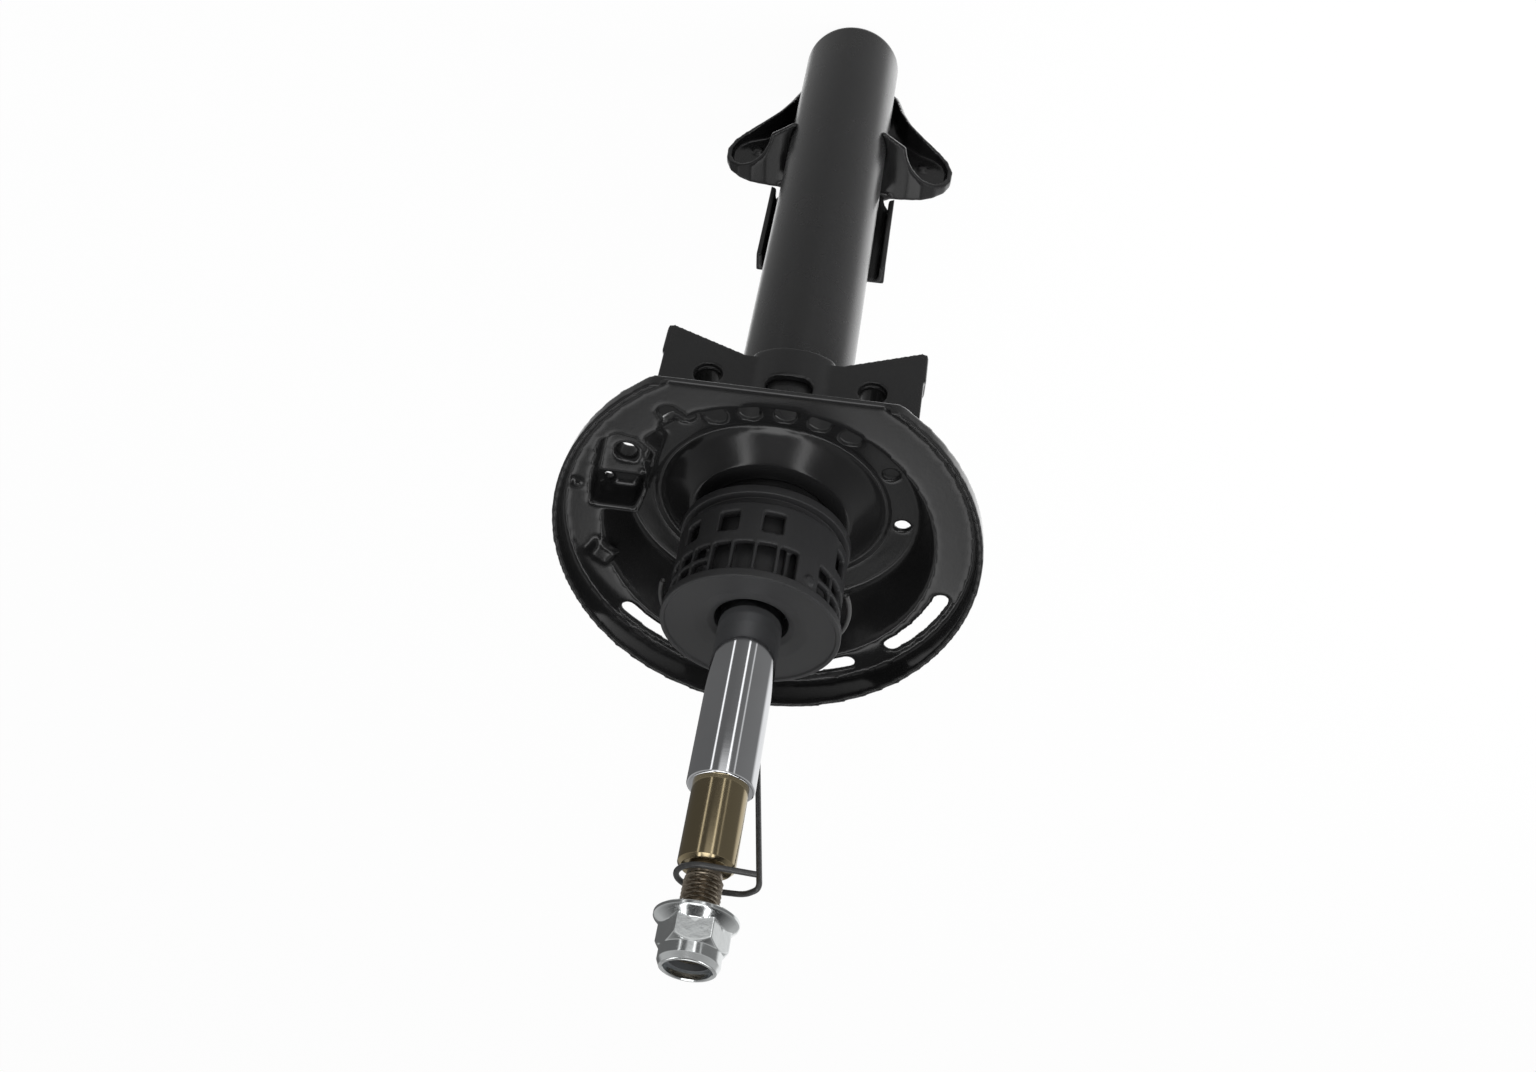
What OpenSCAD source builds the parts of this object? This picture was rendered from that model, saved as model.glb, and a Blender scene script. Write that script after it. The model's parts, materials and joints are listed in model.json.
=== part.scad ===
// Twin-tube MacPherson front strut with tilted spring seat, wing plate and
// knuckle pan. Z runs along the damper, rod end up; the wing plate faces -Y.
// All lengths in millimetres.

/* [Damper tube] */
// outside diameter of the reservoir tube
tube_d = 50; // [46:0.5:56]
// wall of the reservoir tube
tube_wall = 2; // [1.5:0.1:3]
// height of the rolled-in top of the tube
tube_top = 374; // [360:1:390]
// bore of the pressure tube
bore_d = 36; // [32:0.5:38]
// wall of the pressure tube
bore_wall = 2; // [1.2:0.1:2.5]

/* [Rod] */
// chromed rod diameter
rod_d = 25; // [22:0.5:26]
// height of the rod shoulder at rest
shoulder_z = 456.2; // [440:0.1:470]
// diameter of the mount spigot above the shoulder
spigot_d = 20.4; // [16:0.1:22]
// length of the mount spigot
spigot_len = 31; // [24:0.5:36]
// stud thread diameter
stud_d = 14; // [10:1:16]
// length of the stud above the spigot
stud_len = 30.8; // [26:0.1:44]
// stroke left from rest to full rebound
stroke = 155; // [100:1:170]

/* [Top nut] */
// flange diameter
nut_flange_d = 29.4; // [26:0.1:32]
// across flats
nut_af = 21.6; // [19:0.1:24]
// length of stud inside the nut at rest
nut_grip = 13.4; // [10:0.1:17]
// height of the nut
nut_h = 18.6; // [14:0.1:22]

/* [Spring seat] */
// rim diameter of the pan
seat_d = 174.8; // [150:0.1:190]
// rim plane below the top of the tube, on the tube axis
seat_drop = 25.6; // [18:0.1:60]
// lean of the rim plane toward the wing plate
seat_tilt = 12.6; // [0:0.1:20]
// coil floor below the rim plane, on the tube axis
floor_drop = 8.9; // [6:0.1:14]
// lean of the coil floor
floor_tilt = 8.6; // [0:0.1:20]
// sheet thickness
seat_t = 2.5; // [2:0.1:4]
// distance from the axis to the flat front edge
seat_chord = 71.7; // [60:0.1:85]

/* [Wing plate] */
// distance between the two bolt holes
wing_pitch = 70; // [60:0.5:80]
// bolt hole diameter
wing_hole_d = 12; // [10:0.1:14]
// bolt holes below the hole land of the spring seat
wing_drop = 48.1; // [40:0.1:70]
// half width over the side flanges
wing_half = 56.3; // [50:0.1:60]
// sheet thickness
wing_t = 3; // [2:0.1:4]
// height of the weld nuts behind the bolt holes
weld_nut_h = 9; // [6:0.5:11]

/* [Knuckle pan] */
// half width over the two lobes
lobe_half = 61.3; // [55:0.1:66]
// top of the stem
stem_top = 147.5; // [130:0.5:170]
// sheet thickness
pan_t = 3; // [2:0.1:4]

/* [Bump cap] */
// width of the end disc beyond the tube
cap_skirt = 10.3; // [8.5:0.1:13]
// height of the end disc face above the tube
cap_rise = 13; // [11.5:0.5:20]

/* [Wire clip] */
// wire diameter
wire_d = 2.1; // [1.6:0.1:2.8]
// middle of the hook above the spigot
hook_gap = 3.1; // [2:0.1:9]
// middle of the hoop's wire outside the end disc
hoop_gap = 1.7; // [1.6:0.1:4]
// middle of the hoop below the end disc's face
hoop_drop = 12; // [5:0.5:22]

/* [Hidden] */
$fn = 96;
tr = tube_d / 2;
ti = tr - tube_wall;
bi = bore_d / 2;
bo = bi + bore_wall;
rr = rod_d / 2;
sr = spigot_d / 2;
nr = stud_d / 2;
piston_z = 104;              // underside of the piston at rest
bush_r = rr + 1.7;
spigot_top = shoulder_z + spigot_len;
stud_top = spigot_top + stud_len;
nut_z = stud_top - nut_grip; // flange face of the nut
seat_z = tube_top - seat_drop;
floor_z = seat_z - floor_drop;
cap_top = tube_top + cap_rise;
cr = tr + cap_skirt;
wr = wire_d / 2;
nut_turn = 58;               // how the nut's hexagon stands at rest
hook_r = nr + 2.7;           // bend of the hook round the stud
hook_z = spigot_top + hook_gap;
hoop_r = cr + hoop_gap;
hoop_z = cap_top - hoop_drop;
run_gap = 0.05;              // radial clearance of turning and sliding fits
wing_y = -(tr - 1);          // front face of the wings
saddle_r = tr + wing_t + 0.5;
saddle_y = -(tr - 7);        // side edges of the saddle
pan_y = tr + pan_t;          // back face of the pan floor
hub_r = tr + seat_t;         // spring seat hub
cap_in = tr + 3.6;           // cap sleeve outside
cage_r = cr - 1.3;           // cap cage outside
cage_i = cage_r - 2.6;       // cap cage inside
disc_z = cap_top - 3.6;      // underside of the end disc
cap_low = cap_top - 45;      // foot of the cap
cage_low = cap_low + 8;      // foot of the cage
lock_z = nut_z + nut_h - 5.2; // pocket of the lock ring in the nut
lock_h = 2.4;
lock_r = nr + 2;
pad_top = cap_top - 7;       // top of the bump pad
guide_z = tube_top - 27;     // underside of the rod guide
sk = seat_d / 174.8;         // seat against the size that its outlines are drawn for
slot_r = seat_d / 2 - 10.1;  // middle of the drain slots
land_r = 61 * sk;            // outside of the hole land
land_z = seat_z - 24.9;      // hole land of the spring seat
punch_z = land_z - 14;       // where the cuts through the land start
bowl_h = 44.1;               // height of the bowl's cone
bowl_w = 18.9;               // how far the cone opens over that height
hub_z = land_z - 7.5;        // foot of the hub
wing_hole_z = land_z - wing_drop;
wing_top = hub_z - 4;        // top of the wing plate by the tube
base_h = 12;                 // height of the base plug
valve_z = base_h + 3;        // foot valve body
seat_top_z = valve_z + 3;    // foot of the pressure tube
disc_low = seat_top_z + 6;   // seat of the intake disc
rivet_top = disc_low + 4.5;
wing_low = wing_hole_z - 27.4; // outer corner of the wings
saddle_low = wing_hole_z - 17.2; // free edge of the saddle
saddle_half = tr - 5.5;      // where that edge starts to round off
weld_low = 100;              // foot of the pan's weld beads

// ---- shared shapes

module ring(ro, ri, z0, z1) {
    translate([0, 0, z0]) difference() {
        cylinder(r = ro, h = z1 - z0);
        translate([0, 0, -1]) cylinder(r = ri, h = z1 - z0 + 2);
    }
}

// sector of a ring from angle a0 over span a
module sector(ro, ri, z0, z1, a0, a) {
    rotate([0, 0, a0]) rotate_extrude(angle = a)
        translate([ri, z0]) square([ro - ri, z1 - z0]);
}

// everything above a plane leaning about X
module above(z, tilt) {
    translate([0, 0, z]) rotate([tilt, 0, 0]) translate([-150, -150, 0]) cube([300, 300, 120]);
}

// ---- damper tube

module reservoir_tube() {
    color([0.10, 0.10, 0.11]) rotate_extrude() polygon([
        [ti, base_h - 4], [tr, base_h - 4], [tr, tube_top - 2.5], [tr - 2.5, tube_top],
        [rr + 3.5, tube_top], [rr + 3.5, tube_top - 2], [ti, tube_top - 2]]);
}

module base_cap() {
    color([0.10, 0.10, 0.11]) rotate_extrude() union() {
        square([tr - 6, 6]);
        translate([0, 6]) square([tr, base_h - 10]);
        intersection() {
            translate([tr - 6, 6]) circle(r = 6);
            translate([tr - 6, 0]) square([6, 6]);
        }
        translate([0, base_h - 4]) square([ti - run_gap, 4]);
    }
}

module pressure_tube() {
    color([0.62, 0.64, 0.66]) ring(bo, bi, seat_top_z, guide_z + 3);
}

module foot_valve_body() {
    color([0.55, 0.56, 0.58]) difference() {
        union() {
            translate([0, 0, valve_z]) cylinder(r = bo + 0.6, h = seat_top_z - valve_z);
            translate([0, 0, seat_top_z]) cylinder(r = bi, h = disc_low - seat_top_z);
            for (a = [0 : 90 : 270]) rotate([0, 0, a + 45])
                translate([bo - 6, -2.5, base_h]) cube([6, 5, valve_z - base_h]);
        }
        for (a = [0 : 60 : 300]) rotate([0, 0, a]) translate([12, 0, 10]) cylinder(r = 2, h = 20);
        translate([0, 0, 10]) cylinder(r = 3, h = 20);
    }
}

module foot_valve_rivet() {
    color([0.70, 0.70, 0.72]) union() {
        translate([0, 0, valve_z - 1.8]) cylinder(r = 3, h = rivet_top - valve_z + 1.8);
        translate([0, 0, rivet_top]) cylinder(r = 5, h = 1.5);
        translate([0, 0, base_h]) cylinder(r = 5, h = valve_z - 1.8 - base_h);
    }
}

module foot_intake_disc() {
    color([0.74, 0.75, 0.78]) ring(bi - 2.5, 3 + run_gap, disc_low, disc_low + 0.5);
}

module foot_shims() {
    color([0.66, 0.68, 0.72]) union() {
        ring(9.5, 3, valve_z - 0.6, valve_z);
        ring(7, 3, valve_z - 1.8, valve_z - 0.6);
    }
}

// ---- piston and rod

module piston() {
    color([0.45, 0.46, 0.48]) difference() {
        translate([0, 0, piston_z]) cylinder(r = bi - 0.5, h = 16);
        translate([0, 0, piston_z - 1]) cylinder(r = 6, h = 20);
        ring(bi + 1, bi - 1.5, piston_z + 4, piston_z + 12);
        for (a = [0 : 45 : 315]) rotate([0, 0, a])
            translate([bi - 6.2, 0, piston_z - 1]) cylinder(r = 1.8, h = 20);
    }
}

module piston_ring() {
    color([0.20, 0.18, 0.16]) ring(bi - run_gap, bi - 1.5 + run_gap, piston_z + 4.05, piston_z + 11.95);
}

module piston_shims() {
    color([0.70, 0.72, 0.76]) union() {
        ring(bi - 3.4, 6, piston_z - 0.6, piston_z);
        ring(10, 6, piston_z - 1.6, piston_z - 0.6);
    }
}

module piston_nut() {
    color([0.60, 0.60, 0.62]) difference() {
        translate([0, 0, piston_z - 9.6]) cylinder(r = 19 / 2 / cos(30), h = 8, $fn = 6);
        translate([0, 0, piston_z - 11]) cylinder(r = 6, h = 12);
    }
}

module piston_rod() {
    color([0.86, 0.87, 0.89]) rotate_extrude() polygon([
        [0, piston_z - 10.6], [5.2, piston_z - 10.6], [6, piston_z - 9.8], [6, piston_z + 16],
        [rr, piston_z + 16], [rr, shoulder_z - 0.8], [rr - 0.8, shoulder_z], [sr, shoulder_z],
        [sr, spigot_top - 1.4], [sr - 1.6, spigot_top], [nr - run_gap, spigot_top],
        [nr - run_gap, stud_top - 1.2], [nr - 1.2, stud_top], [0, stud_top]]);
}

module rebound_stop() {
    color([0.50, 0.50, 0.52]) ring(rr + 2.9, rr, guide_z - stroke - 15.05, guide_z - stroke - 10.05);
}

module rebound_bumper() {
    color([0.08, 0.08, 0.08]) difference() {
        ring(bi - 1.4, rr + run_gap, guide_z - stroke - 10, guide_z - stroke - 0.05);
        for (a = [0 : 60 : 300]) rotate([0, 0, a])
            translate([bi - 1.4, 0, guide_z - stroke - 11]) cylinder(r = 1.6, h = 20);
    }
}

module rod_guide() {
    color([0.52, 0.52, 0.55]) rotate_extrude() polygon([
        [bush_r, guide_z], [bi - run_gap, guide_z], [bi - run_gap, guide_z + 3], [ti - run_gap, guide_z + 3],
        [ti - run_gap, guide_z + 17], [ti - 4, guide_z + 17], [ti - 4, guide_z + 13], [bush_r, guide_z + 13]]);
}

module guide_bush() {
    color([0.62, 0.48, 0.28]) ring(bush_r, rr + run_gap, guide_z + 0.4, guide_z + 12.6);
}

module rod_seal() {
    color([0.09, 0.09, 0.09]) rotate_extrude() polygon([
        [rr + run_gap, guide_z + 14], [rr + 1.5, guide_z + 13], [ti - 4, guide_z + 13], [ti - 4, guide_z + 20],
        [rr + 2.5, guide_z + 20], [rr + 1, guide_z + 19.2], [rr + run_gap, guide_z + 19.8],
        [rr + 0.9, guide_z + 17]]);
}

module closing_ring() {
    color([0.48, 0.48, 0.50]) rotate_extrude() polygon([
        [ti - 4, guide_z + 17], [ti, guide_z + 17], [ti, tube_top - 2], [rr + 3.5, tube_top - 2],
        [rr + 3.5, guide_z + 20], [ti - 4, guide_z + 20]]);
}

// ---- spring seat

// conical bowl wall between hole land and coil floor
module bowl_space() {
    rotate_extrude() polygon([[0, land_z], [land_r, land_z], [land_r + bowl_w, land_z + bowl_h],
        [0, land_z + bowl_h]]);
}

module coil_slot(a0, a) {
    translate([0, 0, seat_z]) rotate([seat_tilt, 0, 0]) {
        sector(slot_r + 3, slot_r - 3, -40, 5, a0, a);
        for (b = [a0, a0 + a]) rotate([0, 0, b]) translate([slot_r, 0, -40]) cylinder(r = 3.1, h = 45);
    }
}

// outline of the coil stop pocket, drawn in by s
function pocket(s) = [[sk * 70 - s, -sk * 41 + s], [sk * 61, -sk * 44.6 + s],
    [sk * 52 + s * 0.4, -sk * 43 + s], [sk * 44.5 + s, -sk * 36 + s * 0.5], [sk * 49.5 + s, -sk * 14],
    [sk * 53 + s, -sk * 3 - s], [sk * 75 - s, -sk * 3 - s], [sk * 74.6 - s, -sk * 15]];

// round cut of radius r through the land at x, y
module punch(x, y, r) {
    translate([sk * x, sk * y, punch_z]) cylinder(r = r, h = 40);
}

// embossed bump on the coil floor at x, y, with n sides
module coil_rest(x, y, r, h, n) {
    translate([sk * x, sk * y, floor_z + sk * y * tan(floor_tilt)]) rotate([floor_tilt, 0, 12])
        translate([0, 0, -1]) cylinder(r1 = r, r2 = 0.62 * r, h = h, $fn = n);
}

module spring_seat() {
    color([0.09, 0.09, 0.10]) difference() {
        union() {
            // everything under the coil floor
            difference() {
                union() {
                    // hub, hat, hole land and bowl wall
                    rotate_extrude() polygon([
                        [tr, hub_z], [hub_r, hub_z], [hub_r, land_z + 8 - seat_t],
                        [hub_r + 4.9, land_z + 8 - seat_t], [land_r - 16.4, land_z - seat_t],
                        [land_r - 15.7, land_z - 2 - seat_t], [land_r - 12.7, land_z - 2 - seat_t],
                        [land_r - 12.5, land_z - seat_t], [land_r + 0.77 * seat_t, land_z - seat_t],
                        [land_r + bowl_w + 1.09 * seat_t, land_z + bowl_h], [land_r + bowl_w, land_z + bowl_h],
                        [land_r, land_z], [land_r - 12, land_z], [land_r - 13, land_z - 2],
                        [land_r - 15, land_z - 2], [land_r - 15.5, land_z], [hub_r + 5.5, land_z + 8],
                        [tr, land_z + 8]]);
                    // coil floor
                    difference() {
                        translate([0, 0, floor_z]) rotate([floor_tilt, 0, 0]) translate([0, 0, -seat_t])
                            cylinder(r = seat_d / 2 - 1, h = seat_t + 3);
                        bowl_space();
                    }
                    // coil stop pocket
                    translate([0, 0, land_z - seat_t]) linear_extrude(height = 24) polygon(pocket(0));
                }
                above(floor_z, floor_tilt);
            }
            // upturned rim
            difference() {
                translate([0, 0, seat_z]) rotate([seat_tilt, 0, 0])
                    ring(seat_d / 2, seat_d / 2 - seat_t, -26, 0);
                translate([0, 0, floor_z]) rotate([floor_tilt, 0, 0])
                    translate([-150, -150, -60 - seat_t]) cube([300, 300, 60]);
            }
            // embossed coil rests
            coil_rest(68.5, 20, 9, 3.4, 4);
            coil_rest(78, -16, 2.6, 2, 48);
        }
        // hollow of the pocket, deeper behind its pad, its side window and its holes
        intersection() {
            translate([0, 0, punch_z]) linear_extrude(height = 60) polygon(pocket(seat_t));
            union() {
                above(floor_z - 6, floor_tilt);
                intersection() {
                    above(floor_z - 12.5, floor_tilt);
                    translate([0, -sk * 16.5, punch_z]) cube([100, 60, 80]);
                }
            }
        }
        translate([sk * 44, -sk * 28, land_z + 5]) rotate([0, 0, 14]) cube([8, 17, 14]);
        punch(58.6, -28.6, 4.2);
        punch(68, -8, 2.2);
        // flat front edge
        translate([-150, -seat_chord - 150, hub_z - 66]) cube([300, 150, 200]);
        // round holes in the land
        for (a = [-79, -93.5, -108, -122.5]) rotate([0, 0, a]) punch(54.9, 0, 4.3);
        for (a = [-149, 177]) rotate([0, 0, a]) punch(54.2, 0, 3.2);
        // drop-shaped and slanted slots at the front
        punch(27.6, -54, 3.6);
        punch(23.6, -49.5, 4.4);
        punch(40.8, -55.6, 3.4);
        punch(35.2, -48, 3.4);
        translate([sk * 38, -sk * 51.8, punch_z]) rotate([0, 0, 53.6])
            translate([-sk * 4.7, -3.4, 0]) cube([sk * 9.4, 6.8, 40]);
        // drain slots in the coil floor
        coil_slot(137, 26);
        coil_slot(95, 25);
        coil_slot(41, 26);
        // clearance for the tube
        translate([0, 0, hub_z - 16]) cylinder(r = tr, h = 60);
    }
}

module seat_weld() {
    color([0.12, 0.12, 0.13]) rotate_extrude()
        polygon([[tr, hub_z - 3.4], [tr + 2.2, hub_z - 1.6], [hub_r, hub_z], [tr, hub_z]]);
}

// ---- wing plate

module wing_shape() {
    polygon([[14, wing_low + 14], [22, wing_low + 13], [wing_half - 2, wing_low], [wing_half, wing_low + 1.4],
        [wing_half - 1.2, land_z - seat_t], [44, land_z - seat_t], [40, wing_top], [14, wing_top]]);
}

module wing_hole(x, d) {
    translate([x, 0, wing_hole_z]) rotate([90, 0, 0]) translate([0, 0, 5]) cylinder(r = d / 2, h = 40);
}

module wing_plate() {
    color([0.10, 0.10, 0.11]) difference() {
        union() {
            // two wings
            for (s = [0, 1]) mirror([s, 0, 0]) {
                translate([0, wing_y + wing_t, 0]) rotate([90, 0, 0]) linear_extrude(height = wing_t) wing_shape();
                translate([wing_half - wing_t, wing_y, wing_low + 2])
                    cube([wing_t - 0.9, 13, land_z - seat_t - wing_low - 2]);
                translate([wing_half - wing_t + 0.6, wing_y, wing_low + 1]) cube([wing_t, 12, 15]);
            }
            // saddle over the tube, the corners of its free edge rounded
            intersection() {
                ring(saddle_r, tr, saddle_low, wing_top);
                translate([-30, saddle_y - 30, wing_low]) cube([60, 30, 80]);
                union() {
                    translate([-30, -50, saddle_low + 5]) cube([60, 40, 60]);
                    translate([-saddle_half + 5, -50, saddle_low]) cube([2 * saddle_half - 10, 40, 60]);
                    for (s = [-1, 1]) translate([s * (saddle_half - 5), -10, saddle_low + 5])
                        rotate([90, 0, 0]) cylinder(r = 5, h = 40);
                }
            }
        }
        // window in the saddle
        translate([-5.9, -50, wing_hole_z]) cube([11.8, 40, 32]);
        translate([-9.9, -50, wing_hole_z + 4]) cube([19.8, 40, 24]);
        for (x = [-5.9, 5.9], z = [4, 28]) translate([x, -10, wing_hole_z + z])
            rotate([90, 0, 0]) cylinder(r = 4, h = 40);
        for (s = [-1, 1]) wing_hole(s * wing_pitch / 2, wing_hole_d);
    }
}

module wing_doubler(s) {
    color([0.10, 0.10, 0.11]) difference() {
        union() {
            translate([s * wing_pitch / 2 - 11.8, wing_y + wing_t, wing_hole_z - 14]) cube([23.6, 3, 30]);
            // round weld nut on the plate
            translate([s * wing_pitch / 2, wing_y + wing_t + 1, wing_hole_z])
                rotate([-90, 0, 0]) cylinder(r = wing_hole_d / 2 + 4, h = 2 + weld_nut_h);
        }
        wing_hole(s * wing_pitch / 2, wing_hole_d);
        for (a = [-1, 1], b = [-14, 16]) translate([s * wing_pitch / 2 + a * 11.8, 0, wing_hole_z + b])
            rotate([90, 45, 0]) translate([-3, -3, 0]) cube([6, 6, 60]);
    }
}

module wing_doubler_left() { wing_doubler(1); }
module wing_doubler_right() { wing_doubler(-1); }

module wing_weld() {
    // along both side edges of the saddle
    color([0.12, 0.12, 0.13]) for (s = [-1, 1]) difference() {
        translate([s * (sqrt(tr * tr - saddle_y * saddle_y) + 1), saddle_y + 1, wing_low + 15])
            cylinder(r = 2, h = 44);
        cylinder(r = tr, h = wing_top + 10);
        translate([-30, saddle_y - 20, wing_low]) cube([60, 20, 80]);
    }
}

// ---- knuckle pan

// half outline of the pan, drawn in by s
function pan_half(s) = [[27 - s, 2 + s], [29.4 - s, 10], [32.4 - s, 23 + s * 0.2],
    [lobe_half - 24.3 - s * 0.8, 32.8 + s * 0.6], [lobe_half - 16.3 - s * 0.6, 39.4 + s * 0.8],
    [lobe_half - 7.8 - s * 0.6, 43.6 + s * 0.8], [lobe_half - 2.8 - s * 0.85, 48.6 + s * 0.5],
    [lobe_half - s, 56], [lobe_half - 0.3 - s, 63.2], [lobe_half - 3.1 - s * 0.85, 69.4 - s * 0.5],
    [lobe_half - 8.5 - s * 0.5, 74.6 - s * 0.85], [lobe_half - 15.3 - s * 0.2, 77.8 - s],
    [lobe_half - 23.3, 79 - s], [30, 79.4 - s]];

module pan_slab(pts, y0, y1) {
    translate([0, y1, 0]) rotate([90, 0, 0]) linear_extrude(height = y1 - y0) polygon(pts);
}

// space cut away in front of the lobe walls
module lobe_mouth(s) {
    mirror([s, 0, 0]) {
        translate([lobe_half + 4.7, -8, -10]) cylinder(r = 31, h = 180);
        rotate([0, 106.9, -55.8]) translate([-100, -100, 0]) cube([200, 200, 200]);
        translate([lobe_half - 21.3, -60, -10]) cube([60, 60, 200]);
    }
}

module knuckle_pan() {
    color([0.09, 0.09, 0.10]) difference() {
        union() {
            // floor behind the tube
            for (s = [0, 1]) mirror([s, 0, 0])
                pan_slab(concat([[0, 2]], pan_half(0), [[26.5, 82], [27.5, 87], [32.5, 96]],
                    [[32.5, stem_top], [0, stem_top]]), pan_y - pan_t, pan_y);
            // lobe walls
            for (s = [0, 1]) difference() {
                mirror([s, 0, 0]) difference() {
                    pan_slab(concat([[0, 2]], pan_half(0), [[0, 79.4]]), -12, pan_y);
                    pan_slab(concat([[-1, 2 + pan_t]], pan_half(pan_t), [[-1, 79.4 - pan_t]]), -20, pan_y - pan_t);
                }
                lobe_mouth(s);
            }
            // stem flanges
            for (s = [0, 1]) mirror([s, 0, 0]) difference() {
                translate([32.5 - pan_t, 17, 92]) cube([pan_t, pan_y - 17, stem_top - 92]);
                translate([26, 10, 96]) rotate([0, 29, 0]) translate([-10, 0, -20]) cube([30, 20, 20]);
            }
            // dimple in each lobe floor
            for (s = [-1, 1]) translate([s * (lobe_half - 16.3), pan_y - pan_t, 54])
                rotate([90, 0, 0]) cylinder(r1 = 3.4, r2 = 2.2, h = 1.2);
        }
        translate([0, 0, -20]) cylinder(r = tr, h = stem_top + 90);
    }
}

module pan_weld() {
    color([0.12, 0.12, 0.13]) union() {
        for (s = [-1, 1]) difference() {
            translate([s * 10.5, pan_y - pan_t - 1.4, weld_low]) cylinder(r = 1.8, h = stem_top - 7.5 - weld_low);
            translate([0, 0, weld_low - 10]) cylinder(r = tr, h = stem_top);
            translate([-40, pan_y - pan_t, weld_low - 10]) cube([80, 10, stem_top]);
        }
    }
}

// ---- bump cap

module cap_sleeve() {
    color([0.13, 0.13, 0.14]) rotate_extrude() polygon([
        [tr, cap_low + 1], [tr + 1.2, cap_low], [cage_r + 0.6, cap_low], [cage_r + 0.6, cap_low + 4],
        [cage_i, cap_low + 4], [cage_i, cage_low], [cap_in, cage_low], [cap_in, pad_top], [tr, pad_top]]);
}

module cap_cage() {
    color([0.12, 0.12, 0.13]) difference() {
        union() {
            ring(cage_r, cage_i, cage_low, disc_z);
            ring(cage_i, cap_in, cage_low, cage_low + 3);
            for (a = [7.5 : 60 : 367]) rotate([0, 0, a])
                translate([cap_in, -1, cage_low + 3]) cube([3.4, 2, disc_z - cage_low - 3]);
            // round boss on the closed panel
            rotate([0, 0, -128]) translate([cage_r - 1, 0, disc_z - 4]) rotate([0, 90, 0]) cylinder(r = 2, h = 1.8);
        }
        // upper windows
        for (a = [-248 : 30 : 82]) if (a != -128 && a != 52)
            sector(cr + 5, cage_i - 0.4, cage_low + 4.4, cage_low + 14, a - 7, 14);
        // lower windows, two cells high away from the front
        for (i = [0 : 22]) {
            a = -119 + 15 * i;
            if (i < 4) sector(cr + 5, cage_i - 0.4, disc_z - 14, disc_z - 1, a + 1.2, 12.6);
            if (i > 3) {
                sector(cr + 5, cage_i - 0.4, disc_z - 14, disc_z - 8, a + 1.2, 12.6);
                sector(cr + 5, cage_i - 0.4, disc_z - 6.2, disc_z - 1, a + 1.2, 12.6);
            }
        }
    }
}

module cap_disc() {
    color([0.13, 0.13, 0.14]) rotate_extrude() polygon([
        [rr + 2.1, pad_top], [cap_in, pad_top], [cap_in, disc_z], [cr - 0.3, disc_z], [cr, disc_z + 0.6],
        [cr, cap_top - 0.4], [cr - 0.6, cap_top], [cr - 1.7, cap_top], [cr - 2.3, cap_top - 0.9],
        [22, cap_top - 2], [rr + 3.5, cap_top - 3.4], [rr + 2.1, cap_top - 4]]);
}

module bump_pad() {
    color([0.30, 0.30, 0.30]) ring(tr - 1, rr + 2.5, tube_top, pad_top);
}

// ---- top nut and wire clip

module flange_nut() {
    color([0.78, 0.80, 0.82]) difference() {
        union() {
            translate([0, 0, nut_z]) cylinder(r1 = nut_flange_d / 2 - 0.5, r2 = nut_flange_d / 2, h = 0.6);
            translate([0, 0, nut_z + 0.6]) cylinder(r = nut_flange_d / 2, h = 1.2);
            translate([0, 0, nut_z + 1.8]) cylinder(r1 = nut_flange_d / 2, r2 = nut_af / 2, h = 2.4);
            intersection() {
                translate([0, 0, nut_z + 1]) rotate([0, 0, nut_turn])
                    cylinder(r = nut_af / 2 / cos(30), h = nut_h - 7, $fn = 6);
                translate([0, 0, nut_z + 1]) cylinder(r1 = nut_af / 2 + 3.8, r2 = nut_af / 2 + 0.6, h = nut_h - 6);
            }
            translate([0, 0, nut_z + nut_h - 6.6]) cylinder(r = nut_af / 2 - 0.1, h = 4.4);
            translate([0, 0, nut_z + nut_h - 2.2]) cylinder(r1 = nut_af / 2 - 0.1, r2 = nut_af / 2 - 1.4, h = 2.2);
        }
        translate([0, 0, nut_z - 1]) cylinder(r = nr, h = nut_h - 3.6);
        translate([0, 0, lock_z]) cylinder(r = lock_r, h = lock_h);
        translate([0, 0, lock_z + lock_h]) cylinder(r = lock_r - 0.8, h = 6);
    }
}

module nut_lock_ring() {
    color([0.25, 0.27, 0.33]) ring(lock_r - run_gap, nr, lock_z + run_gap, lock_z + lock_h - run_gap);
}

// points of an arc about Z
function arc(r, z, a0, a1, n) =
    [for (i = [0 : n]) let (a = a0 + (a1 - a0) * i / n) [r * cos(a), r * sin(a), z]];

// rounded corner at q, from g millimetres before it toward p to g after it toward s
function corner(p, q, s, g) = let (a = q + g * (p - q) / norm(p - q), b = q + g * (s - q) / norm(s - q))
    [for (t = [0 : 0.25 : 1]) (1 - t) * (1 - t) * a + 2 * t * (1 - t) * q + t * t * b];

// directions across the wire, each the last one turned as little as its bend asks
function across(d, i, u) = i == len(d) ? [] :
    let (v = u - (u * d[i]) * d[i], w = v / norm(v)) concat([w], across(d, i + 1, w));

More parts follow.
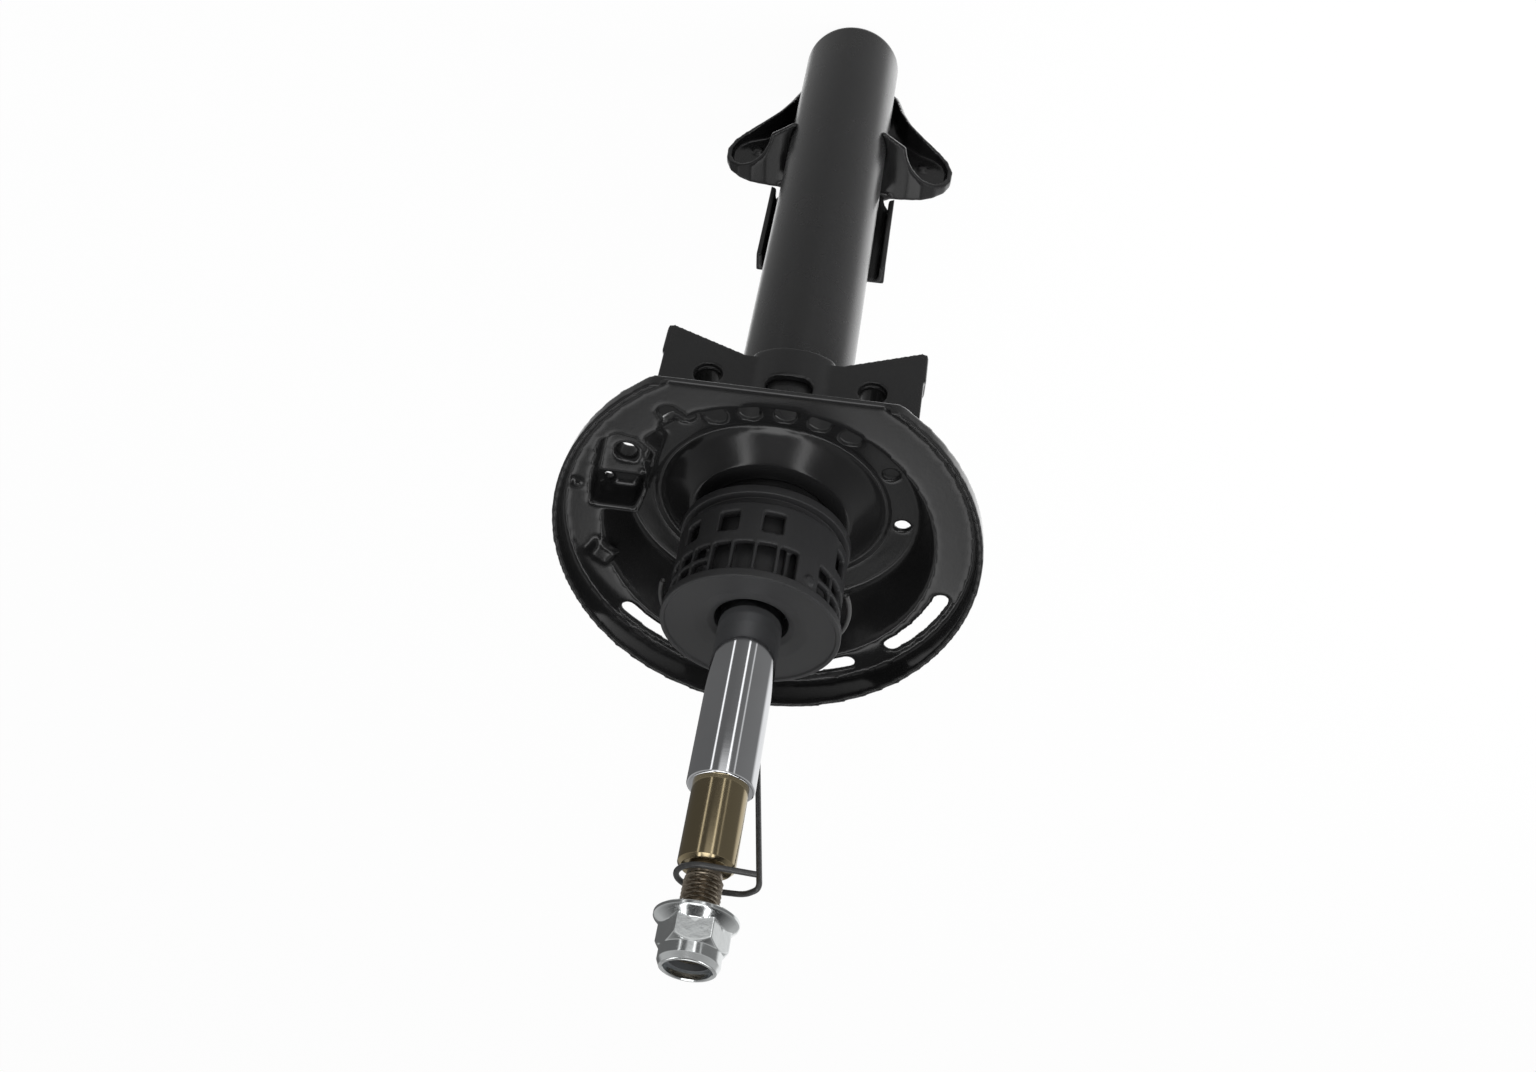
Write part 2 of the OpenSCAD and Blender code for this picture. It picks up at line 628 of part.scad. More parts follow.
// ten-sided wire of radius r through the points
module wire(pts, r, n = 10) {
    m = len(pts);
    d = [for (i = [0 : m - 1]) let (v = pts[min(i + 1, m - 1)] - pts[max(i - 1, 0)]) v / norm(v)];
    w = across(d, 0, [0, 0, 1]);
    polyhedron(
        points = [for (i = [0 : m - 1], k = [0 : n - 1])
            pts[i] + r * (cos(360 * k / n) * w[i] + sin(360 * k / n) * cross(d[i], w[i]))],
        faces = concat(
            [[for (k = [0 : n - 1]) k], [for (k = [n - 1 : -1 : 0]) (m - 1) * n + k]],
            [for (i = [0 : m - 2], k = [0 : n - 1]) [i * n + k, i * n + n + k, i * n + n + (k + 1) % n]],
            [for (i = [0 : m - 2], k = [0 : n - 1]) [i * n + k, i * n + n + (k + 1) % n, i * n + (k + 1) % n]]));
}

module wire_clip() {
    foot = [-1.6, sqrt(hoop_r * hoop_r - 1.6 * 1.6), hoop_z];
    knee = [-3.9, sqrt(hoop_r * hoop_r - 3.9 * 3.9), cap_top + 2];
    turn = [-19, 2.5, hook_z];
    side = [-14, 8.8, hook_z];
    color([0.16, 0.16, 0.17]) union() {
        // half hoop, long leg and the hook round the stud, in one wire
        wire(concat(
            arc(hoop_r, hoop_z, -13, 84, 18),
            corner([hoop_r * cos(84), hoop_r * sin(84), hoop_z], foot, knee, 3),
            corner(foot, knee, turn, 3),
            corner(knee, turn, side, 3),
            corner(turn, side, [0, hook_r, hook_z], 3),
            arc(hook_r, hook_z, 90, -90, 14),
            [[-17, -8.5, hook_z]]), wr);
        // the other half of the hoop, lapped under the first
        wire(arc(hoop_r, hoop_z - wire_d - run_gap, 78, 197, 20), wr);
    }
}

// ---- assembly

reservoir_tube();
base_cap();
pressure_tube();
foot_valve_body();
foot_valve_rivet();
foot_intake_disc();
foot_shims();
piston();
piston_ring();
piston_shims();
piston_nut();
piston_rod();
rebound_stop();
rebound_bumper();
rod_guide();
guide_bush();
rod_seal();
closing_ring();
spring_seat();
seat_weld();
wing_plate();
wing_doubler_left();
wing_doubler_right();
wing_weld();
knuckle_pan();
pan_weld();
cap_sleeve();
cap_cage();
cap_disc();
bump_pad();
flange_nut();
nut_lock_ring();
wire_clip();
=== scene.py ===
"""Dressing of a twin-tube front suspension strut: camera, studio, and one section for each piece."""

import json

import bmesh
import bpy
import numpy as np
from mathutils import Matrix, Vector


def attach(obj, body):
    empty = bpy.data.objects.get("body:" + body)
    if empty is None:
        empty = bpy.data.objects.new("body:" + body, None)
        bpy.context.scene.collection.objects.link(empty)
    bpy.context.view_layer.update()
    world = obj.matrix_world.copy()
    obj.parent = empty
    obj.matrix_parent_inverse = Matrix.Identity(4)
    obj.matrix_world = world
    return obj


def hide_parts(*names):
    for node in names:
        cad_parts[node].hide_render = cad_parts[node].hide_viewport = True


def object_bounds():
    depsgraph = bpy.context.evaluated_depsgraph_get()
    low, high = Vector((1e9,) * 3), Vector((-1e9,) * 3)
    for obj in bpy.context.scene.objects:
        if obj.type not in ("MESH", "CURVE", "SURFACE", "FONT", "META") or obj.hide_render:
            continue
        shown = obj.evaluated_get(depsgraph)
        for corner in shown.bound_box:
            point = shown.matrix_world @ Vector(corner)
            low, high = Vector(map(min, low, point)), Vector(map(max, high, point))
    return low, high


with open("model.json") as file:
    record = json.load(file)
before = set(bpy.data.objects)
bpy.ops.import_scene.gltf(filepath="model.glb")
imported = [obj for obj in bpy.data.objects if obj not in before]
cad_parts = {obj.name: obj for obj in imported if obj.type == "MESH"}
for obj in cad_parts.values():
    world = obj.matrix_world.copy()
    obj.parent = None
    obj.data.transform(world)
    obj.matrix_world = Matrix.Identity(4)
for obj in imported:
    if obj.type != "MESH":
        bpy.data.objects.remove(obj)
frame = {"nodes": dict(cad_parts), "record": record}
cad_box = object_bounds()


# ---- camera and studio
# The strut is seen from above its rod end, on the wing plate's side. A pale floor carries it, and the room is
# white behind it, grey at the sides, and dark round the lens, with a light strip on each side of the lens.

VIEW_RIGHT = Vector((-0.9897, -0.0256, -0.1411))
VIEW_UP = Vector((0.1261, -0.6244, -0.7709))
VIEW_AHEAD = Vector((0.0683, 0.7807, -0.6211))
VIEW_FROM = Vector((-0.0398, -0.45005, 0.6975))
WHITE_SHARE = 0.96


class Value:
    """One socket of a shader tree. Arithmetic on values adds the tree's Math nodes."""

    def __init__(self, tree, socket):
        self.tree = tree
        self.socket = socket

    def math(self, operation, *terms):
        return self.tree.add("ShaderNodeMath", {"operation": operation}, dict(enumerate(terms)))

    def __add__(self, other):
        return self.math("ADD", self, other)

    def __sub__(self, other):
        return self.math("SUBTRACT", self, other)

    def __rsub__(self, other):
        return self.math("SUBTRACT", other, self)

    def __mul__(self, other):
        return self.math("MULTIPLY", self, other)

    __radd__ = __add__
    __rmul__ = __mul__


class Tree:
    """A shader tree that is written as expressions on Values."""

    def __init__(self, owner):
        owner.use_nodes = True
        self.nodes = owner.node_tree.nodes
        self.links = owner.node_tree.links
        self.nodes.clear()

    def add(self, kind, settings=None, inputs=None, output=0):
        """Adds a node: its settings first, a ramp's stops among them, then a value or link for each socket."""
        node = self.nodes.new(kind)
        for key, value in (settings or {}).items():
            if key == "stops":
                ramp = node.color_ramp.elements
                while len(ramp) < len(value):
                    ramp.new(0.5)
                for element, (place, shade) in zip(ramp, value):
                    element.position = place
                    element.color = (*shade, 1) if isinstance(shade, tuple) else (shade, shade, shade, 1)
            else:
                setattr(node, key, value)
        for key, value in (inputs or {}).items():
            if isinstance(value, Value):
                self.links.new(value.socket, node.inputs[key])
            else:
                node.inputs[key].default_value = value
        return Value(self, node.outputs[output]) if node.outputs else None

    def ramp(self, value, stops):
        """Grey or colour that follows value through the stops (place, shade)."""
        return self.add("ShaderNodeValToRGB", {"stops": stops}, {"Fac": value})

    def mix(self, amount, first, second):
        """Colour between first and second."""
        return self.add("ShaderNodeMix", {"data_type": "RGBA"}, {"Factor": amount, 6: first, 7: second}, 2)

    def noise(self, place, scale, detail=2.0):
        return self.add("ShaderNodeTexNoise", {}, {"Vector": place, "Scale": scale, "Detail": detail})


def light_room():
    """White to the lens, plain light for matt surfaces, and the room's bands for gloss, by direction."""
    world = bpy.data.worlds.new("room")
    bpy.context.scene.world = world
    tree = Tree(world)
    way = tree.add("ShaderNodeTexCoord", output="Generated")

    def along(direction):
        dot = {"operation": "DOT_PRODUCT"}
        return tree.add("ShaderNodeVectorMath", dot, {0: way, 1: direction}, "Value")

    lens_side = Vector((VIEW_FROM.x, VIEW_FROM.y, 0)).normalized()
    turn = tree.add(
        "ShaderNodeMath",
        {"operation": "ARCTAN2"},
        {0: along((lens_side.y, -lens_side.x, 0)), 1: along(lens_side)},
    )
    turn = turn * (0.5 / np.pi) + 0.5
    height = along((0, 0, 1))
    # just below the horizon: grey room with three strips beside the lens, and a bright wall at the back
    sides = tree.ramp(turn, [(0.0, 0.13), (0.45, 0.13), (0.62, 0.18), (0.79, 0.20), (0.83, 0.95), (1.0, 0.95)])
    strips = tree.ramp(turn, [
        (0.374, 0.0), (0.378, 1.0), (0.388, 1.0), (0.392, 0.0), (0.519, 0.0), (0.523, 1.0), (0.534, 1.0),
        (0.538, 0.0), (0.585, 0.0), (0.588, 0.4), (0.597, 0.4), (0.600, 0.0)])
    card = tree.ramp(turn, [(0.440, 0.0), (0.460, 1.0), (0.530, 1.0), (0.550, 0.0)])
    card_low = tree.ramp(height * -1.0, [(0.385, 1.0), (0.405, 0.0)])
    shallow = sides + strips * 1.3 + card * card_low * 0.6
    # steeply below it: pale floor, brightest behind the strut
    steep = tree.ramp(turn, [
        (0.0, 1.6), (0.07, 1.6), (0.10, 0.40), (0.45, 0.33), (0.62, 0.36), (0.76, 0.50), (0.83, 1.6), (1.0, 1.6)])
    low = tree.mix(tree.ramp(height * -1.0, [(0.57, 0.0), (0.64, 1.0)]), shallow, steep)
    # above it: dim ceiling with two long soft lamps overhead, and one above the lens
    lamps = tree.ramp(along((0.5, 0, 0)) + 0.5, [
        (0.34, 0.0), (0.365, 1.0), (0.385, 1.0), (0.41, 0.0), (0.655, 0.0), (0.68, 1.0), (0.70, 1.0), (0.725, 0.0)])
    overhead = tree.ramp(height, [(0.60, 0.0), (0.88, 1.0)])
    ceiling = tree.ramp(height, [(0.30, 0.45), (0.62, 0.25), (0.85, 0.05)])
    above_lens = tree.ramp(along((0.07, -0.62, 0.78)), [(0.95, 0.0), (0.975, 1.0)])
    far_lamp = tree.ramp(along((0.05, 0.58, 0.813)), [(0.986, 0.0), (0.995, 1.0)])
    high = ceiling + lamps * overhead * 3.5 + above_lens * 2.5 + far_lamp * 1.7
    raised = tree.ramp(height * 0.5 + 0.5, [(0.49, 0.0), (0.53, 1.0)])
    rays = tree.add("ShaderNodeLightPath", output="Is Glossy Ray")
    seen = tree.add("ShaderNodeLightPath", output="Is Camera Ray")
    plain = tree.mix(raised, (1.0, 1.0, 1.0, 1), (0.45, 0.45, 0.45, 1))
    level = tree.mix(rays, plain, tree.mix(raised, low, high))
    level = tree.mix(seen, level, (1, 1, 1, 1))
    shade = tree.add("ShaderNodeBackground", {}, {"Color": level})
    tree.add("ShaderNodeOutputWorld", {}, {"Surface": shade})


def lay_floor():
    """Pale floor under the foot of the tube. The lens sees most of it as plain white."""
    reach = 8.0
    under = cad_box[0][2] - 0.0015
    mesh = bpy.data.meshes.new("floor")
    corners = [(-reach, -reach, under), (reach, -reach, under), (reach, reach, under), (-reach, reach, under)]
    mesh.from_pydata(corners, [], [(0, 1, 2, 3)])
    floor = bpy.data.objects.new("floor", mesh)
    bpy.context.scene.collection.objects.link(floor)
    material = bpy.data.materials.new("floor")
    tree = Tree(material)
    seen = tree.add("ShaderNodeLightPath", output="Is Camera Ray")
    matt = tree.add("ShaderNodeBsdfDiffuse", {}, {"Color": (0.92, 0.92, 0.92, 1)})
    white = tree.add("ShaderNodeEmission", {}, {"Color": (1, 1, 1, 1)})
    both = tree.add("ShaderNodeMixShader", {}, {0: seen * WHITE_SHARE, 1: matt, 2: white})
    tree.add("ShaderNodeOutputMaterial", {}, {"Surface": both})
    mesh.materials.append(material)
    floor.visible_glossy = False


def hang_lamp(name, place, target, size, watts):
    """Soft square lamp that looks at target."""
    lamp = bpy.data.lights.new(name, "AREA")
    lamp.size = size
    lamp.energy = watts
    holder = bpy.data.objects.new(name, lamp)
    holder.location = place
    holder.rotation_euler = (Vector(target) - Vector(place)).to_track_quat("-Z", "Y").to_euler()
    holder.visible_glossy = False
    bpy.context.scene.collection.objects.link(holder)


def set_camera():
    camera = bpy.data.objects.new("camera", bpy.data.cameras.new("camera"))
    camera.data.sensor_width = 36.0
    camera.data.lens = 33.28
    camera.data.clip_start = 0.01
    camera.matrix_world = Matrix.Translation(VIEW_FROM) @ Matrix((VIEW_RIGHT, VIEW_UP, -VIEW_AHEAD)).transposed().to_4x4()
    bpy.context.scene.collection.objects.link(camera)
    bpy.context.scene.camera = camera


bpy.context.scene.view_settings.view_transform = "Standard"
light_room()
lay_floor()
hang_lamp("lamp_above", (-0.5, -0.6, 1.6), (0, 0, 0.3), 0.9, 12.0)
hang_lamp("lamp_right", (-1.3, -0.1, 0.5), (0, 0, 0.25), 0.7, 14.0)
set_camera()


# ---- damper tube
# Drawn steel tube, closed at its foot and rolled in at its top, dipped in black and baked.

TUBE_R = 25.0
TUBE_WALL = 2.0
TUBE_TOP = 374.0
FOOT_ROUND = 6.0


def rounded(corners, radii, steps=8):
    """Outline (r, z) with each corner cut off by an arc of its radius, tangent to both of its sides."""
    corners = np.array(corners, float)
    out = []
    for at, before, after, radius in zip(corners, np.roll(corners, 1, 0), np.roll(corners, -1, 0), radii):
        if radius == 0:
            out.append(at[None])
            continue
        u = (before - at) / np.linalg.norm(before - at)
        v = (after - at) / np.linalg.norm(after - at)
        half = np.arccos(np.clip(u @ v, -1, 1)) / 2
        middle = at + (u + v) / np.linalg.norm(u + v) * radius / np.sin(half)
        start = at + u * radius / np.tan(half) - middle
        end = at + v * radius / np.tan(half) - middle
        t = np.linspace(0, 1, steps)[:, None]
        swing = np.pi - 2 * half
        arc = (np.sin((1 - t) * swing) * start + np.sin(t * swing) * end) / np.sin(swing)
        out.append(middle + arc)
    return np.concatenate(out)


def surface(name, points, wrap_rows=True, sharp=38):
    """Mesh of a grid of points in millimetres (row, column, xyz). Columns close on themselves, and so do rows
    where wrap_rows is set. Points that fall together are merged."""
    points = np.asarray(points, float) * 0.001
    rows, cols = points.shape[:2]
    i, j = np.meshgrid(np.arange(rows if wrap_rows else rows - 1), np.arange(cols), indexing="ij")
    below, beside = (i + 1) % rows, (j + 1) % cols
    faces = np.stack([i * cols + j, i * cols + beside, below * cols + beside, below * cols + j], -1)
    mesh = bpy.data.meshes.new(name)
    mesh.from_pydata(points.reshape(-1, 3), [], faces.reshape(-1, 4).tolist())
    return made(name, mesh, sharp)


def made(name, mesh, sharp, merge=1e-6):
    """Object of the mesh, with its doubles merged, its faces turned outwards and its edges sharp past an angle."""
    work = bmesh.new()
    work.from_mesh(mesh)
    bmesh.ops.remove_doubles(work, verts=work.verts, dist=merge)
    bmesh.ops.dissolve_degenerate(work, edges=work.edges, dist=merge)
    bmesh.ops.recalc_face_normals(work, faces=work.faces)
    work.to_mesh(mesh)
    work.free()
    mesh.shade_smooth()
    mesh.set_sharp_from_angle(angle=np.radians(sharp))
    piece = bpy.data.objects.new(name, mesh)
    bpy.context.scene.collection.objects.link(piece)
    return piece


def turned(name, outline, around=192, sharp=38):
    """Outline (r, z) in millimetres, turned about the strut's axis."""
    angle = np.linspace(0, 2 * np.pi, around, endpoint=False)
    r, z = np.array(outline, float).T[:, :, None]
    flat = np.ones_like(angle)
    return surface(name, np.stack([r * np.cos(angle), r * np.sin(angle), z * flat], -1), sharp=sharp)


def dressed(piece, material, slot, body, *nodes):
    """Gives a piece its material, and lets it ride in place of the nodes. Its slot is not used."""
    piece.data.materials.clear()
    piece.data.materials.append(material)
    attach(piece, body)
    if nodes:
        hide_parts(*nodes)


def satin_black(name, shade=0.019, gloss=0.30, grain=700.0, relief=0.00003):
    """Baked dip coat: near black, its gloss cloudy over a few centimetres, with a fine skin."""
    material = bpy.data.materials.new(name)
    tree = Tree(material)
    place = tree.add("ShaderNodeTexCoord", output="Object")
    cloud = tree.noise(place, 22.0, 4.0)
    skin = tree.noise(place, grain, 2.0)
    dust = tree.ramp(tree.noise(place, 260.0, 6.0), [(0.62, 0.0), (0.78, 1.0)])
    dark = (shade * 0.9, shade * 0.9, shade * 0.93, 1)
    pale = (shade * 1.25, shade * 1.25, shade * 1.27, 1)
    colour = tree.mix(cloud, dark, pale)
    colour = tree.mix(dust * 0.02, colour, (0.10, 0.10, 0.10, 1))
    bump = tree.add("ShaderNodeBump", {}, {"Height": skin, "Distance": relief, "Strength": 0.5})
    coat = {"Base Color": colour, "Roughness": cloud * 0.16 + dust * 0.05 + (gloss - 0.08), "Normal": bump}
    shader = tree.add("ShaderNodeBsdfPrincipled", {}, coat)
    tree.add("ShaderNodeOutputMaterial", {}, {"Surface": shader})
    return material


tube_coat = satin_black("tube_coat", 0.014, 0.26)
lip = TUBE_R - 9.0
tube_outline = rounded(
    [(0, 0), (TUBE_R, 0), (TUBE_R, TUBE_TOP), (lip, TUBE_TOP), (lip, TUBE_TOP - 2),
     (TUBE_R - TUBE_WALL, TUBE_TOP - 2), (TUBE_R - TUBE_WALL, 12), (0, 12)],
    [0, FOOT_ROUND, 2.4, 0.6, 0.6, 0.4, 0, 0],
)
dressed(turned("damper_tube", tube_outline), tube_coat, "e_coat", "tube", "reservoir_tube", "base_cap")


# ---- pressed sheets: spring seat, wing plate and knuckle pan
# Thick sheet steel, pressed and pierced, so every edge and bend has a small radius. The radius comes from
# remeshing the node's solid in small cells and easing them.


def pressed(node, name, cell, easing):
    """Copy of a node with its edges eased: remeshed in cells of that size in millimetres, then smoothed."""
    mesh = frame["nodes"][node].data.copy()
    mesh.materials.clear()
    rough = made(name + "_rough", mesh, 30, 2e-6)
    cells = rough.modifiers.new("cells", "REMESH")
    cells.mode = "VOXEL"
    cells.voxel_size = cell * 0.001
    ease = rough.modifiers.new("ease", "SMOOTH")
    ease.factor = 0.5
    ease.iterations = easing
    bpy.context.view_layer.update()
    eased = bpy.data.meshes.new_from_object(rough.evaluated_get(bpy.context.evaluated_depsgraph_get()))
    bpy.data.objects.remove(rough)
    eased.name = name
    eased.shade_smooth()
    piece = bpy.data.objects.new(name, eased)
    bpy.context.scene.collection.objects.link(piece)
    return piece


e_coat = satin_black("e_coat", 0.011, 0.20)
dressed(pressed("spring_seat", "spring_pan", 1.1, 6), e_coat, "e_coat", "tube", "spring_seat")
dressed(pressed("wing_plate", "wing_pressing", 0.75, 5), e_coat, "e_coat", "tube", "wing_plate")
dressed(pressed("knuckle_pan", "knuckle_pressing", 0.85, 5), e_coat, "e_coat", "tube", "knuckle_pan")
for side in ("left", "right"):
    plate = pressed("wing_doubler_" + side, "doubler_plate_" + side, 0.5, 3)
    dressed(plate, e_coat, "e_coat", "tube", "wing_doubler_" + side)


# ---- weld beads
# Fillet welds under the coat: round the hub of the seat, down the saddle and down the pan's stem. Here only the bead
# round the hub is drawn.

bead_coat = satin_black("bead_coat", 0.021, 0.36, 320.0, 0.0003)


def bead_ring(name, r, z, size, ripples):
    """Weld bead round the tube: a round section whose radius swells once for each drop of the weld."""
    turn = np.linspace(0, 2 * np.pi, ripples * 8, endpoint=False)[None]
    section = np.linspace(0, 2 * np.pi, 20, endpoint=False)[:, None]
    swell = size * (1 + 0.10 * np.abs(np.sin(turn * ripples / 2)))
    out = r + swell * np.cos(section)
    return surface(name, np.stack([out * np.cos(turn), out * np.sin(turn), z + swell * np.sin(section)], -1))


dressed(bead_ring("hub_bead", TUBE_R + 0.6, 314.4, 1.7, 64), bead_coat, "weld", "tube", "seat_weld")


# ---- rod
# Ground bar with hard chrome, polished round the bar. Its top is turned down to a plain spigot, which the
# plating bath left yellow, and then to a threaded stud.

ROD_R = 12.5
SPIGOT_R = 10.2
SHOULDER = 456.2
SPIGOT_TOP = 487.2
STUD_R = 6.95
STUD_TOP = 518.0
PISTON_FOOT = 104.0
THREAD_FROM = 490.4
PITCH = 1.5


def polished(name, colour, rough, lines, relief):
    """Ground and polished metal, with its fine grinding lines round the bar."""
    material = bpy.data.materials.new(name)
    tree = Tree(material)
    place = tree.add("ShaderNodeTexCoord", output="Object")
    drawn = tree.add("ShaderNodeMapping", {}, {"Vector": place, "Scale": (40.0, 40.0, lines)})
    grind = tree.noise(drawn, 1.0, 3.0)
    cloud = tree.noise(place, 60.0, 3.0)
    dark = tuple(c * 0.86 for c in colour)
    tint = tree.mix(cloud, (*dark, 1), (*colour, 1))
    bump = tree.add("ShaderNodeBump", {}, {"Height": grind, "Distance": relief, "Strength": 0.35})
    metal = {"Base Color": tint, "Metallic": 1.0, "Roughness": grind * 0.05 + rough, "Normal": bump}
    shader = tree.add("ShaderNodeBsdfPrincipled", {}, metal)
    tree.add("ShaderNodeOutputMaterial", {}, {"Surface": shader})
    return material


rod_outline = rounded(
    [(0, PISTON_FOOT - 10.6), (6, PISTON_FOOT - 10.6), (6, PISTON_FOOT + 16), (ROD_R, PISTON_FOOT + 16),
     (ROD_R, SHOULDER), (SPIGOT_R - 0.4, SHOULDER), (SPIGOT_R - 0.4, SHOULDER - 2), (0, SHOULDER - 2)],
    [0, 0.7, 0.2, 0.4, 1.1, 0.3, 0, 0],
)
chrome = polished("hard_chrome", (0.80, 0.81, 0.83), 0.045, 3000.0, 0.000004)
dressed(turned("rod_bar", rod_outline, 256), chrome, "rod_chrome", "rod", "piston_rod")

spigot_outline = rounded(
    [(0, SHOULDER - 1), (SPIGOT_R, SHOULDER - 1), (SPIGOT_R, SPIGOT_TOP - 1.3), (SPIGOT_R - 1.3, SPIGOT_TOP), (0, SPIGOT_TOP)],
    [0, 0, 0.3, 0.3, 0],
)
yellowed = polished("yellowed_steel", (0.46, 0.38, 0.235), 0.12, 2600.0, 0.000006)
dressed(turned("rod_spigot", spigot_outline, 192), yellowed, "rod_chrome", "rod")


def stud():
    """Stud above the spigot: radius by height and angle, a plain neck and then one V-shaped thread, whose
    groove climbs one pitch a turn, with a chamfer at the top."""
    angle = np.linspace(0, 2 * np.pi, 96, endpoint=False)[None]
    z = np.linspace(SPIGOT_TOP - 1, STUD_TOP, int((STUD_TOP - SPIGOT_TOP) / PITCH * 10))[:, None]
    phase = (z / PITCH - angle / (2 * np.pi)) % 1
    groove = 0.85 * np.clip(1.25 * np.abs(2 * phase - 1) - 0.12, 0, 1)
    fade = np.clip((z - THREAD_FROM) / PITCH, 0, 1)
    neck = STUD_R - 0.75
    r = neck + (STUD_R - groove - neck) * fade
    r = np.minimum(r, STUD_TOP - z + STUD_R - 1.3)
    points = np.stack([r * np.cos(angle), r * np.sin(angle), z + 0 * angle], -1)
    middle = np.zeros_like(points[:1])
    low, high = middle + points[0, 0] * [0, 0, 1], middle + points[-1, 0] * [0, 0, 1]
    return surface("threaded_stud", np.concatenate([low, points, high]), False)


bare_thread = polished("bare_thread", (0.30, 0.255, 0.20), 0.24, 900.0, 0.00001)
dressed(stud(), bare_thread, "rod_chrome", "rod")


# ---- flange nut and its lock ring
# Cold formed M14 nut with bright zinc: flange, six flats with chamfered corners, and a turned collar that
# holds the lock ring.

NUT_FOOT = 504.6
NUT_HIGH = 18.6
FLANGE_R = 14.7
FLATS = 21.6
NUT_TURN = 58.0


def nut():
    """Radius by height and angle: the larger of a round outline, flange and collar, and of the hexagon, which
    a chamfer cone cuts off at the corners. The bore closes the grid."""
    angle = np.linspace(0, 2 * np.pi, 384, endpoint=False)[None]
    z = np.concatenate([np.linspace(0, 2, 14), np.linspace(2.1, 12.8, 46), np.linspace(12.9, NUT_HIGH, 20)])[:, None]
    off = (np.degrees(angle) - NUT_TURN) % 60 - 30
    hexagon = FLATS / 2 / np.cos(np.radians(off))
    flange = np.interp(z, [0, 0.5, 1.6, 2.1, 4.6, 11.9, 12.5, 16.2, NUT_HIGH - 0.3, NUT_HIGH],
                       [FLANGE_R - 0.7, FLANGE_R, FLANGE_R, FLANGE_R - 0.5, 10.9, 10.3, 10.7, 10.7, 9.7, 9.2])
    cone = np.interp(z, [0, 3.2, 10.4, 12.6, 12.7], [12.45, 12.45, 12.45, 10.6, 0])
    cut = -np.logaddexp(-15 * hexagon, -15 * cone) / 15
    r = np.maximum(flange, cut)
    outside = np.stack([r * np.cos(angle), r * np.sin(angle), z + 0 * angle], -1)
    inner = np.array([(8.5, NUT_HIGH), (8.2, NUT_HIGH - 0.4), (8.2, 15.8), (9, 15.8), (9, 13.4), (7, 13.4), (7, 0.8), (7.9, 0)])
    ring = np.stack([np.cos(angle[0]), np.sin(angle[0])], -1)
    inside = np.stack([np.column_stack([a * ring, np.full(len(ring), b)]) for a, b in inner])
    return surface("zinc_nut", np.concatenate([outside, inside]) + [0, 0, NUT_FOOT], sharp=32)


def zinc_plate():
    """Bright zinc: pale blue grey metal with cloudy gloss and small dents of the cold forming."""
    material = bpy.data.materials.new("zinc_plate")
    tree = Tree(material)
    place = tree.add("ShaderNodeTexCoord", output="Object")
    cloud = tree.noise(place, 180.0, 5.0)
    dents = tree.noise(place, 420.0, 2.0)
    tint = tree.mix(cloud, (0.72, 0.75, 0.75, 1), (0.88, 0.90, 0.90, 1))
    bump = tree.add("ShaderNodeBump", {}, {"Height": dents, "Distance": 0.00005, "Strength": 0.5})
    metal = {"Base Color": tint, "Metallic": 1.0, "Roughness": cloud * 0.12 + 0.10, "Normal": bump}
    shader = tree.add("ShaderNodeBsdfPrincipled", {}, metal)
    tree.add("ShaderNodeOutputMaterial", {}, {"Surface": shader})
    return material


dressed(nut(), zinc_plate(), "zinc", "nut", "flange_nut")


# ---- bump cap
# Moulded in dark plastic: a sleeve with a foot flange, a cage of windows round it, and an end disc that
# dishes in to the rod.

CAP_TOP = 387.0
CAP_R = 35.3
CAP_LOW = 342.0


def moulded(name, shade, rough):
    """Moulded plastic with the fine spark finish of its tool and faint flow marks."""
    material = bpy.data.materials.new(name)
    tree = Tree(material)
    place = tree.add("ShaderNodeTexCoord", output="Object")
    spark = tree.noise(place, 1500.0, 3.0)
    flow = tree.noise(place, 40.0, 3.0)
    tint = tree.mix(flow, (shade * 0.85, shade * 0.86, shade * 0.90, 1), (shade * 1.2, shade * 1.2, shade * 1.24, 1))
    bump = tree.add("ShaderNodeBump", {}, {"Height": spark, "Distance": 0.00005, "Strength": 0.5})
    plastic = {"Base Color": tint, "Roughness": flow * 0.12 + rough, "Normal": bump}
    shader = tree.add("ShaderNodeBsdfPrincipled", {}, plastic)
    tree.add("ShaderNodeOutputMaterial", {}, {"Surface": shader})
    return material


cap_plastic = moulded("cap_plastic", 0.020, 0.40)
disc_outline = rounded(
    [(ROD_R + 2.1, CAP_TOP - 7), (28.6, CAP_TOP - 7), (28.6, CAP_TOP - 3.6), (CAP_R, CAP_TOP - 3.6), (CAP_R, CAP_TOP),
     (CAP_R - 1.6, CAP_TOP), (CAP_R - 2.1, CAP_TOP - 0.8), (22, CAP_TOP - 1.7), (17, CAP_TOP - 3.0), (ROD_R + 2.1, CAP_TOP - 4.4)],
    [0.3, 0.2, 0.2, 0.5, 0.5, 0.3, 0.3, 8, 4, 0.4],
)
dressed(turned("end_disc", disc_outline, 256), cap_plastic, "cap_plastic", "tube", "cap_disc")
sleeve_outline = rounded(
    [(25.02, CAP_LOW), (34.6, CAP_LOW), (34.6, CAP_LOW + 4), (31.4, CAP_LOW + 4), (31.4, CAP_LOW + 8), (28.6, CAP_LOW + 8),
     (28.6, CAP_TOP - 7), (25.02, CAP_TOP - 7)],
    [0.8, 0.6, 0.5, 0.3, 0, 0, 0, 0],
)
dressed(turned("cap_core", sleeve_outline, 192), cap_plastic, "cap_plastic", "tube", "cap_sleeve")
dressed(pressed("cap_cage", "cap_windows", 0.5, 2), cap_plastic, "cap_plastic", "tube", "cap_cage")


# ---- wire clip
# Spring wire of 2.1 mm, phosphated dark: an open hoop round the cap, a long leg and a hook round the stud.

